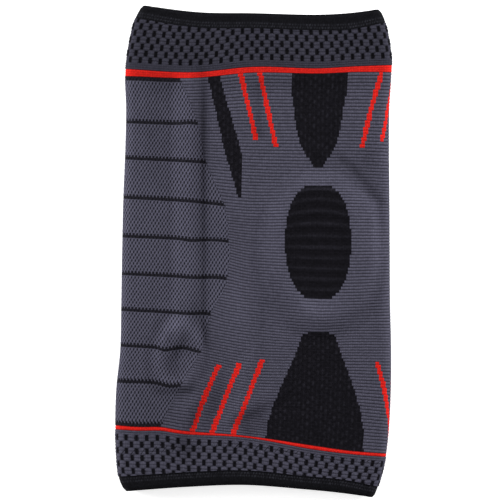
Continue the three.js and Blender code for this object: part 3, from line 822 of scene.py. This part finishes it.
def knit_piece(name, cells, relief, paint, materials, across, along, wall=KNIT_WALL, tone=1.0):
    """A closed wall of knit over some cells of the chart, with its outer face cut finer than its inner."""
    fine = np.repeat(np.repeat(cells, across, 0), along, 1)
    outer, outer_used = vertex_numbers(fine, 0)
    inner, inner_used = vertex_numbers(cells, outer_used.sum())
    outer_wale, outer_rib = chart_place(*np.nonzero(outer_used), across, along)
    inner_wale, inner_rib = chart_place(*np.nonzero(inner_used))

    lift, crest = relief(outer_wale, outer_rib)
    end_tuck = HEM_ROUNDING * ((inner_rib == 0) | (inner_rib == UPPER_EDGE))
    points = np.concatenate([
        knit_point(outer_wale, outer_rib, lift, lift.max()),
        knit_point(inner_wale, inner_rib, end_tuck - wall, lift.max()),
    ])
    on_top = is_on_top(np.concatenate([outer_wale, inner_wale]))
    values = {
        "crest": np.concatenate([crest, np.full(len(inner_wale), INNER_CREST)]),
        "tone": tone * painted_light_and_shade(points, on_top),
    }
    faces = [
        outer_faces(fine, outer, across, along, paint),
        inner_faces(cells, inner),
        *rim_faces(cells, inner, outer, across, along, paint),
    ]
    return build_piece(name, points, values, faces, materials)


def build_piece(name, points, values, faces, materials):
    """A mesh object from points in millimetres, with the chart as its UV map."""
    corners = np.concatenate([part.vertices.ravel() for part in faces]).astype(np.int32)
    sizes = np.concatenate([np.full(len(part.vertices), part.vertices.shape[1]) for part in faces])
    starts = np.concatenate([[0], np.cumsum(sizes)[:-1]]).astype(np.int32)
    colours = np.concatenate([part.colours for part in faces]).astype(np.int32)

    mesh = bpy.data.meshes.new(name)
    mesh.vertices.add(len(points))
    mesh.vertices.foreach_set("co", (points * MM).ravel().astype(np.float32))
    mesh.loops.add(len(corners))
    mesh.loops.foreach_set("vertex_index", corners)
    mesh.polygons.add(len(sizes))
    mesh.polygons.foreach_set("loop_start", starts)
    mesh.polygons.foreach_set("material_index", colours)
    mesh.polygons.foreach_set("use_smooth", np.ones(len(sizes), bool))
    mesh.update(calc_edges=True)
    for material in materials:
        mesh.materials.append(material)
    add_values(mesh, faces, values)
    sharpen_rims(mesh, faces)

    piece = bpy.data.objects.new(name, mesh)
    bpy.context.scene.collection.objects.link(piece)
    return piece


def add_values(mesh, faces, values):
    """Gives the mesh the chart as a UV map, and a number at each vertex for each of the values."""
    chart = np.concatenate([np.stack([part.wale.ravel(), part.rib.ravel()], 1) for part in faces])
    layer = mesh.uv_layers.new(name="chart")
    layer.data.foreach_set("uv", chart.ravel().astype(np.float32))
    for key, value in values.items():
        attribute = mesh.attributes.new(key, "FLOAT", "POINT")
        attribute.data.foreach_set("value", value.astype(np.float32))


def sharpen_rims(mesh, faces):
    """Makes the edges between the rim and the outer and inner faces sharp."""
    on_rim = np.concatenate([np.full(part.vertices.size, part.on_rim) for part in faces])
    edges = np.empty(len(mesh.loops), np.int32)
    mesh.loops.foreach_get("edge_index", edges)
    rim_edges = np.zeros(len(mesh.edges), bool)
    face_edges = np.zeros(len(mesh.edges), bool)
    rim_edges[edges[on_rim]] = True
    face_edges[edges[~on_rim]] = True
    mesh.edges.foreach_set("use_edge_sharp", rim_edges & face_edges)


class Nodes:
    """Short ways to add and join the nodes of a material."""

    def __init__(self, name):
        self.material = bpy.data.materials.new(name)
        self.material.use_nodes = True
        self.tree = self.material.node_tree
        self.shader = self.tree.nodes["Principled BSDF"]

    def add(self, kind, inputs=(), **settings):
        node = self.tree.nodes.new(kind)
        for key, value in settings.items():
            setattr(node, key, value)
        for socket, value in dict(inputs).items():
            self.put(node.inputs[socket], value)
        return node

    def put(self, socket, value):
        if isinstance(value, bpy.types.NodeSocket):
            self.tree.links.new(value, socket)
        else:
            socket.default_value = value

    def set(self, **values):
        for socket, value in values.items():
            self.put(self.shader.inputs[socket.replace("_", " ")], value)

    def math(self, operation, *values):
        node = self.add("ShaderNodeMath", operation=operation)
        for socket, value in zip(node.inputs, values):
            self.put(socket, value)
        return node.outputs[0]

    def blend(self, value, low, high):
        """low where the value is 0, high where it is 1."""
        return self.add("ShaderNodeMapRange", {"Value": value, "To Min": low, "To Max": high}).outputs[0]

    def near_one(self, value, spread):
        """Below 1 by the spread where the value is 0, and above it by the spread where the value is 1."""
        return self.blend(value, 1 - spread, 1 + spread)

    def step(self, value, low, high):
        """A smooth step from 0 to 1 between low and high."""
        node = self.add("ShaderNodeMapRange", interpolation_type="SMOOTHSTEP")
        for socket, part in zip(node.inputs, (value, low, high)):
            self.put(socket, part)
        return node.outputs[0]

    def mix(self, factor, low, high):
        """A colour between two."""
        node = self.add("ShaderNodeMix", data_type="RGBA")
        for index, value in ((0, factor), (6, low), (7, high)):
            self.put(node.inputs[index], value)
        return node.outputs[2]

    def scaled(self, tint, factor):
        node = self.add("ShaderNodeVectorMath", operation="SCALE")
        self.put(node.inputs[0], tint)
        self.put(node.inputs["Scale"], factor)
        return node.outputs[0]

    def number(self, name):
        """A number that the mesh has at each vertex."""
        return self.add("ShaderNodeAttribute", attribute_name=name).outputs["Fac"]

    def noise(self, scale, detail=2.0, roughness=0.5):
        place = self.add("ShaderNodeTexCoord").outputs["Object"]
        sizes = {"Vector": place, "Scale": scale, "Detail": detail, "Roughness": roughness}
        return self.add("ShaderNodeTexNoise", sizes).outputs["Fac"]


def colour(red, green, blue):
    """A linear colour from 8-bit values as a screen shows them."""
    shares = np.array([red, green, blue]) / 255
    linear = np.where(shares <= 0.04045, shares / 12.92, ((shares + 0.055) / 1.055) ** 2.4)
    return (*linear.tolist(), 1.0)


# Yarn: loops along each rib, how much the tone of fibres and of larger patches differs, how much of the bump
# the fibres are, and the bump's strength and depth
LOOPS_PER_RIB = 2.0
FIBRE_SPREAD = 0.15
PATCH_SPREAD = 0.08
FIBRE_BUMP = 0.5
YARN_BUMP = {"Strength": 0.6, "Distance": 0.25 * MM}


def knit_loops(nodes):
    """How near a place is to the middle of its slanted loop, from 0 to 1, and a chance value for the loop."""
    chart = nodes.add("ShaderNodeUVMap", uv_map="chart").outputs["UV"]
    place = nodes.add("ShaderNodeSeparateXYZ", {"Vector": chart})
    wale = place.outputs["X"]
    course = nodes.math("MULTIPLY", place.outputs["Y"], LOOPS_PER_RIB)
    beside = nodes.math("PINGPONG", wale, 0.5)
    slant = nodes.math("PINGPONG", nodes.math("ADD", course, beside), 0.5)
    whole = {"X": nodes.math("FLOOR", wale), "Y": nodes.math("FLOOR", course)}
    stitch = nodes.add("ShaderNodeCombineXYZ", whole).outputs[0]
    draw = nodes.add("ShaderNodeTexWhiteNoise", {"Vector": stitch}).outputs["Value"]
    return nodes.math("ADD", beside, slant), draw


def yarn(name, valley, crest, edges=(0.0, 1.0), bead=0.2, uneven=0.1):
    """Knitted yarn: dark between the ribs partly as painted shade, with painted shade at each loop's sides
    and loops that differ a little in tone.
    """
    nodes = Nodes(name)
    loop, draw = knit_loops(nodes)
    fibre = nodes.noise(scale=2600.0, detail=3.0, roughness=0.6)
    patch = nodes.noise(scale=60.0)

    shade = nodes.number("tone")
    for value, spread in ((loop, bead), (draw, uneven), (fibre, FIBRE_SPREAD), (patch, PATCH_SPREAD)):
        shade = nodes.math("MULTIPLY", shade, nodes.near_one(value, spread))
    base = nodes.mix(nodes.step(nodes.number("crest"), *edges), valley, crest)
    bump = nodes.add("ShaderNodeBump", YARN_BUMP)
    nodes.put(bump.inputs["Height"], nodes.math("ADD", loop, nodes.math("MULTIPLY", fibre, FIBRE_BUMP)))
    nodes.set(
        Base_Color=nodes.scaled(base, shade),
        Roughness=1.0,
        Specular_IOR_Level=0.06,
        Normal=bump.outputs["Normal"],
    )
    return nodes.material


def gel():
    nodes = Nodes("soft_gel")
    cloudy = nodes.mix(nodes.noise(scale=400.0), colour(50, 50, 54), colour(66, 66, 70))
    nodes.set(Base_Color=cloudy, Roughness=0.45)
    return nodes.material


def spring_steel():
    nodes = Nodes("spring_steel")
    grain = nodes.mix(nodes.noise(scale=900.0, detail=3.0), colour(168, 171, 176), colour(196, 199, 204))
    nodes.set(Base_Color=grain, Metallic=0.9, Roughness=0.3)
    return nodes.material


# Each yarn goes from its valley colour, darkened partly as painted shade, to its crest colour
GREY_YARN = yarn("grey_yarn", colour(39, 38, 46), colour(77, 76, 90), edges=(0.0, 0.9), bead=0.3, uneven=0.15)
MESH_YARN = yarn("mesh_yarn", colour(12, 11, 15), colour(82, 81, 96), edges=(0.25, 0.95), bead=0.12)
CUFF_YARN = yarn("cuff_yarn", colour(18, 17, 21), colour(68, 67, 80), edges=(0.2, 1.0), uneven=0.12)
BLACK_YARN = yarn("black_yarn", colour(12, 11, 15), colour(30, 29, 35), uneven=0.25)
HEM_YARN = yarn("hem_yarn", colour(11, 11, 14), colour(40, 40, 46), uneven=0.25)
RED_YARN = yarn("red_yarn", colour(104, 12, 9), colour(196, 31, 25), edges=(0.0, 0.9), uneven=0.12)


def add_knit(name, node, slot, cells, relief, paint, materials, **sizes):
    """A knitted piece that takes the place of a solid."""
    piece = knit_piece(name, cells, relief, paint, materials, **sizes)
    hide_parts(node)
    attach(piece, "root")


def make_hems():
    for end, hem in HEMS.items():
        add_knit(
            f"{end}_hem_knit", f"{end}_hem", "hem_yarn", ribs_between(hem["start"], hem["stop"]),
            hem_relief(hem["seam"]), one_colour, [HEM_YARN], wall=HEM_WALL, **PANEL_CUTS,
        )


def make_cuffs():
    for end, cuff in CUFFS.items():
        cells = ribs_between(*sorted((cuff["hem"], cuff["stripe"])))
        add_knit(
            f"{end}_cuff_knit", f"{end}_cuff", "cuff_yarn", cells,
            cuff_relief(cuff), cuff_paint(cuff), [CUFF_YARN, BLACK_YARN], tone=cuff["tone"], **CUFF_CUTS,
        )


def make_stripes():
    for end, stripe in STRIPES.items():
        add_knit(
            f"{end}_stripe_knit", f"{end}_stripe", "red_yarn", ribs_between(stripe["start"], stripe["stop"]),
            stripe_relief(stripe["bands"]), one_colour, [RED_YARN], **PANEL_CUTS,
        )


def make_panels():
    for panel, cells in PANELS.items():
        relief = patella_relief if panel == "patella_panel" else panel_relief
        add_knit(f"{panel}_knit", panel, "black_yarn", cells, relief, one_colour, [BLACK_YARN], **PANEL_CUTS)


def make_plain_knit():
    """The grey ribs, and the red accent lines in them."""
    add_knit(
        "accent_lines", "plain_knit", "red_yarn", ACCENT_CELLS,
        accent_relief, one_colour, [RED_YARN], **PANEL_CUTS,
    )
    add_knit(
        "plain_rib_knit", "plain_knit", "grey_yarn", PLAIN_CELLS,
        plain_relief, one_colour, [GREY_YARN], **PLAIN_CUTS,
    )


def make_mesh_knit():
    """The mesh, in two halves that meet behind the knee, so that neither has too many triangles."""
    for side, cells in (("left", CELL_WALE < 0), ("right", CELL_WALE > 0)):
        add_knit(
            f"mesh_{side}_knit", "mesh_knit", "grey_yarn", MESH_CELLS & cells,
            mesh_relief, mesh_paint, [MESH_YARN, BLACK_YARN], **MESH_CUTS,
        )


def finish_solids():
    """The pad and the stay keep their solids, with materials of their own."""
    for node, material in (("patella_pad", gel()), ("side_stay", spring_steel())):
        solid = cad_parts[node]
        solid.data.materials.clear()
        solid.data.materials.append(material)


# The floor shines a little, as a light table does, and lies a little under the sleeve
FLOOR_SIZE = 3.0
FLOOR_DROP = 0.5 * MM
FLOOR_GLOW = 0.65
FLOOR_WHITES = ((0.9, 0.9, 0.9, 1), (0.92, 0.92, 0.92, 1))

# Soft boxes: name, place in metres, side length, power in watts
LIGHTS = (
    ("left_box", (-1.3, 0.3, 0.5), 0.6, 20),
    ("right_box", (1.25, 0.5, 0.45), 0.6, 22),
    ("top_box", (0.1, 1.3, 0.7), 0.6, 8),
)
SKY = 0.4


def make_floor():
    bpy.ops.mesh.primitive_plane_add(size=FLOOR_SIZE, location=(0, 0, -FLOOR_DROP))
    floor = bpy.context.object
    floor.name = "floor"
    nodes = Nodes("pale_floor")
    nodes.set(
        Base_Color=nodes.mix(nodes.noise(scale=4.0), *FLOOR_WHITES),
        Roughness=0.9,
        Emission_Color=(1, 1, 1, 1),
        Emission_Strength=FLOOR_GLOW,
    )
    floor.data.materials.append(nodes.material)
    floor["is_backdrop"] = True


def make_lights():
    world = bpy.data.worlds.new("studio")
    world.use_nodes = True
    background = world.node_tree.nodes["Background"]
    background.inputs["Color"].default_value = (1, 1, 1, 1)
    background.inputs["Strength"].default_value = SKY
    bpy.context.scene.world = world
    for name, place, size, power in LIGHTS:
        data = bpy.data.lights.new(name, "AREA")
        data.size = size
        data.energy = power
        light = bpy.data.objects.new(name, data)
        light.location = place
        light.rotation_euler = (-light.location).to_track_quat("-Z", "Y").to_euler()
        bpy.context.scene.collection.objects.link(light)


# The photograph is a square, and shows the sleeve's middle at this pixel; the lengths of the camera are in
# metres, and its sensor's in millimetres
PHOTO_PIXELS = 500
PIXEL = 0.57 * MM
SLEEVE_PIXEL = (253.6, 251.3)
CAMERA_HEIGHT = 6.0
CAMERA_SENSOR = 36.0
CAMERA_SIGHT = 20.0


def make_camera():
    """A camera straight above, so far away that the picture has hardly any perspective."""
    data = bpy.data.cameras.new("camera")
    data.sensor_width = CAMERA_SENSOR
    data.lens = CAMERA_SENSOR * CAMERA_HEIGHT / (PHOTO_PIXELS * PIXEL)
    data.clip_end = CAMERA_SIGHT
    camera = bpy.data.objects.new("camera", data)
    middle = PHOTO_PIXELS / 2
    camera.location = ((middle - SLEEVE_PIXEL[0]) * PIXEL, (SLEEVE_PIXEL[1] - middle) * PIXEL, CAMERA_HEIGHT)
    bpy.context.scene.collection.objects.link(camera)
    bpy.context.scene.camera = camera


make_camera()
make_hems()
make_cuffs()
make_stripes()
make_panels()
make_plain_knit()
make_mesh_knit()
finish_solids()
make_floor()
make_lights()
bpy.context.scene.view_settings.view_transform = "Standard"

bpy.context.view_layer.update()
boxes = {"cad": cad_box, "visual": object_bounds()}
{name: [list(corner) for corner in box] for name, box in boxes.items()}
